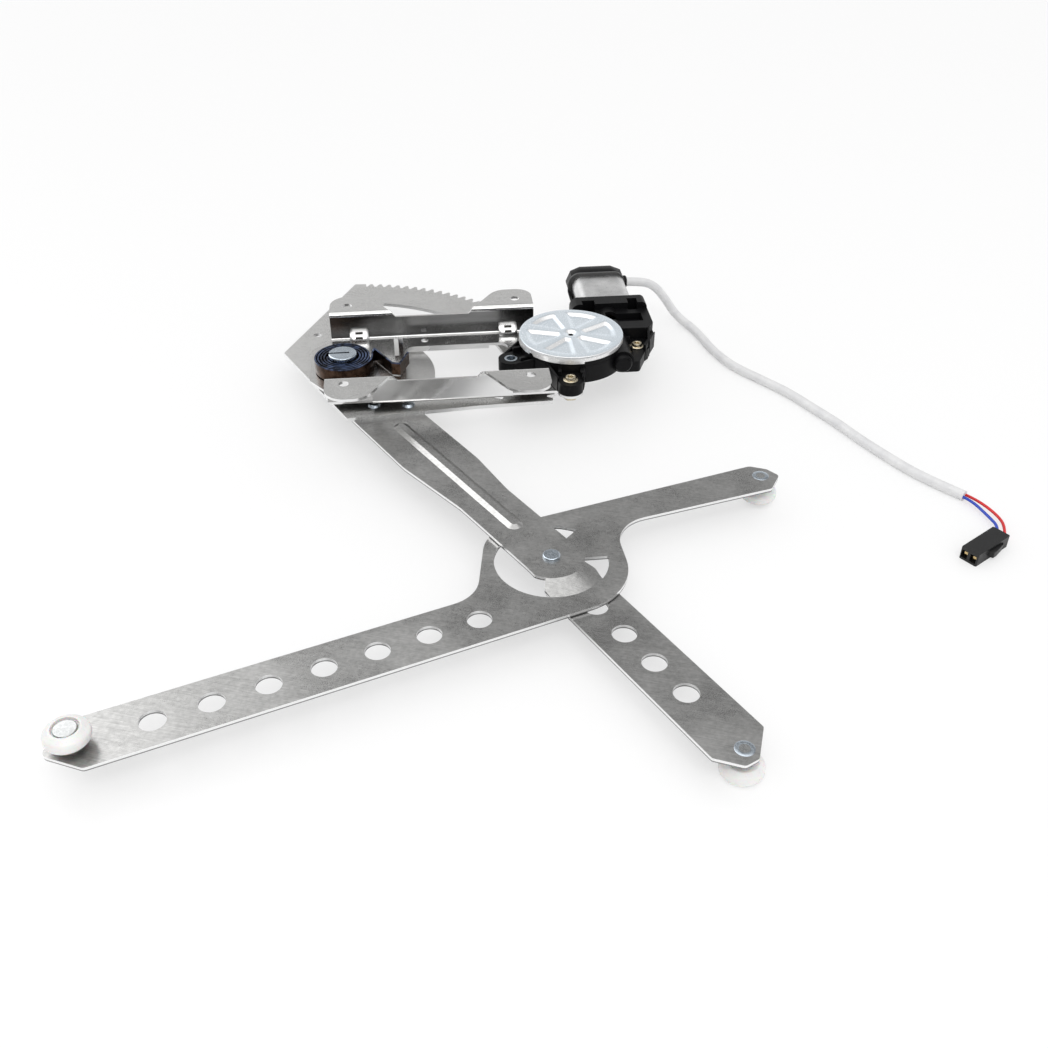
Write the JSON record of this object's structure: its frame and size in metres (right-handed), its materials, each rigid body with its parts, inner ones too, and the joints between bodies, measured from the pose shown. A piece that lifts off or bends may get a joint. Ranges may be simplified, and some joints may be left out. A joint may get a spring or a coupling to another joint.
{
  "type": "window regulator",
  "caption": "Power window regulator: sector geared lift arm, crossed arm, rollers, mounting bracket, gearmotor and lead with plug.",
  "frame": {"origin": "centre of the four bolt holes, on the face that bolts to the door panel", "axes": "+X along the bracket from the main pivot to the motor, +Z out of the bolting face towards the door's inner panel, +Y completes the frame"},
  "size_m": [0.5265, 0.5122, 0.052],
  "materials": {
    "bracket_steel": "satin zinc",
    "sector_steel": "satin zinc",
    "arm_steel": "grained zinc",
    "post_steel": "turned",
    "zinc_steel": "bright zinc",
    "spring_steel": "blued",
    "nylon": "translucent",
    "stud_steel": "turned",
    "black_plastic": "moulded",
    "cap_metal": "stamped",
    "gear_nylon": "moulded",
    "cushion_rubber": "moulded",
    "drive_steel": "machined",
    "gold_zinc": "yellow zinc",
    "can_steel": "rolled",
    "core_steel": "laminated",
    "copper_wire": "enamelled",
    "copper_bars": "turned",
    "ferrite": "sintered",
    "holder_plastic": "moulded",
    "carbon": "pressed",
    "bronze": "sintered",
    "sheath_vinyl": "satin",
    "red_vinyl": "satin",
    "blue_vinyl": "satin",
    "plug_nylon": "moulded",
    "terminal_brass": "stamped"
  },
  "bodies": {
    "base": {"mounting_bracket": "bracket_steel", "clock_spring": "spring_steel", "gear_housing": "black_plastic", "gear_cap": "cap_metal", "cap_seal": "cushion_rubber", "housing_bushes": "zinc_steel", "gearbox_screws": "gold_zinc", "gearbox_nuts": "gold_zinc", "motor_can": "can_steel", "motor_end_cap": "black_plastic", "magnets": "ferrite", "brush_holder": "holder_plastic", "brushes": "carbon", "motor_bearings": "bronze", "worm_plug": "black_plastic", "cable_sheath": "sheath_vinyl", "red_wire": "red_vinyl", "blue_wire": "blue_vinyl", "plug_housing": "plug_nylon", "plug_terminals": "terminal_brass"},
    "lift": {"sector_gear": "sector_steel", "lift_arm": "arm_steel", "sector_rivets": "zinc_steel", "pivot_post": "post_steel", "cross_pin": "zinc_steel", "lower_stud": "stud_steel"},
    "cross": {"cross_arm": "arm_steel", "left_stud": "stud_steel", "right_stud": "stud_steel"},
    "left_wheel": {"left_roller": "nylon"},
    "right_wheel": {"right_roller": "nylon"},
    "lower_wheel": {"lower_roller": "nylon"},
    "drive": {"output_shaft": "drive_steel", "pinion": "drive_steel", "worm_wheel": "gear_nylon", "drive_cushion": "cushion_rubber", "drive_plate": "drive_steel"},
    "armature": {"worm_shaft": "drive_steel", "rotor_core": "core_steel", "windings": "copper_wire", "commutator": "copper_bars"}
  },
  "joints": [
    {"name": "lift_pivot", "type": "hinge", "parent": "base", "child": "lift", "pos_m": [-0.06275, 0, -0.0265], "axis": [0, 0, -1], "range_deg": [-10, 78], "deforming": ["clock_spring"]},
    {"name": "cross_pivot", "type": "hinge", "parent": "lift", "child": "cross", "pos_m": [0.05502, -0.21072, -0.03145], "axis": [0, 0, 1], "range_deg": [-20, 156]},
    {"name": "left_spin", "type": "hinge", "parent": "cross", "child": "left_wheel", "pos_m": [-0.1815, -0.32471, -0.02305], "axis": [0, 0, 1], "continuous": true},
    {"name": "right_spin", "type": "hinge", "parent": "cross", "child": "right_wheel", "pos_m": [0.19229, -0.14121, -0.04235], "axis": [0, 0, 1], "continuous": true},
    {"name": "lower_spin", "type": "hinge", "parent": "lift", "child": "lower_wheel", "pos_m": [0.12751, -0.35549, -0.04495], "axis": [0, 0, 1], "continuous": true},
    {"name": "pinion_turn", "type": "hinge", "parent": "base", "child": "drive", "pos_m": [0.09475, 0, -0.0265], "axis": [0, 0, -1], "range_deg": [-835, 110]},
    {"name": "armature_turn", "type": "hinge", "parent": "base", "child": "armature", "pos_m": [0.126, 0.05, -0.012], "axis": [0, 1, 0], "continuous": true}
  ],
  "couplings": [
    {"joint": "pinion_turn", "follows": "lift_pivot", "ratio": -10.667}
  ]
}
